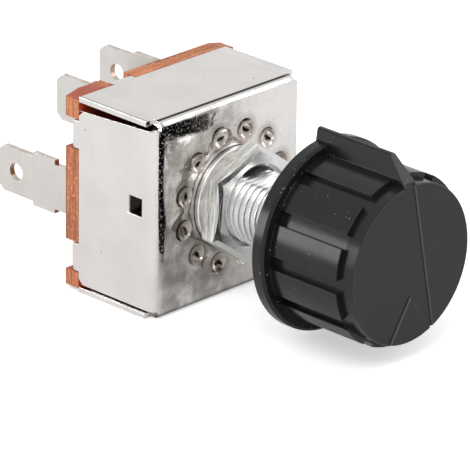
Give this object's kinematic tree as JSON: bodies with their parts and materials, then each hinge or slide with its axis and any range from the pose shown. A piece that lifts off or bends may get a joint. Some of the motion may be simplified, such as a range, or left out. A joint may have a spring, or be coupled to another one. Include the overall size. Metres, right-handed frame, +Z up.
{
  "type": "rotary fan speed switch",
  "caption": "Rotary fan speed switch with a folded metal case, threaded panel bushing and nut, blade terminals on a fibre board and a black pointer knob.",
  "frame": {"origin": "on the shaft's axis, at the front face of the case, where it seats against the panel", "axes": "-Y along the shaft towards the knob, +Y into the body towards the terminals, +Z up with the pointer up in the off position, +X to the right seen from the front"},
  "size_m": [0.0282, 0.0624, 0.0278],
  "materials": {
    "tinned_sheet": "bright tin-plated sheet, mottled",
    "plated_metal": "machined and nickel-plated",
    "phenolic_board": "punched phenolic laminate, satin",
    "tinned_brass": "tin-plated brass strip, satin",
    "silver_alloy": "polished silver alloy",
    "black_plastic": "black moulded plastic, semi-gloss",
    "spring_steel": "bright spring steel",
    "natural_nylon": "moulded nylon, natural white",
    "ball_steel": "polished ball steel",
    "contact_copper": "spring copper alloy, satin"
  },
  "bodies": {
    "base": {"case": "tinned_sheet", "bushing": "plated_metal", "washer": "plated_metal", "hex_nut": "plated_metal", "terminal_board": "phenolic_board", "terminal_common": "tinned_brass", "terminal_low": "tinned_brass", "terminal_medium": "tinned_brass", "terminal_high": "tinned_brass", "contact_rivet_common": "silver_alloy", "contact_rivet_low": "silver_alloy", "contact_rivet_medium": "silver_alloy", "contact_rivet_high": "silver_alloy"},
    "dial": {"knob": "black_plastic", "knob_clip": "spring_steel", "shaft": "plated_metal", "retaining_ring": "spring_steel", "rotor": "natural_nylon", "detent_ball_left": "ball_steel", "detent_ball_right": "ball_steel", "detent_spring_left": "spring_steel", "detent_spring_right": "spring_steel", "contact_spring": "spring_steel", "moving_contact": "contact_copper"}
  },
  "joints": [
    {"name": "speed_dial", "type": "hinge", "parent": "base", "child": "dial", "pos_m": [0, 0, 0], "axis": [0, 1, 0], "range_deg": [0, 90]}
  ]
}
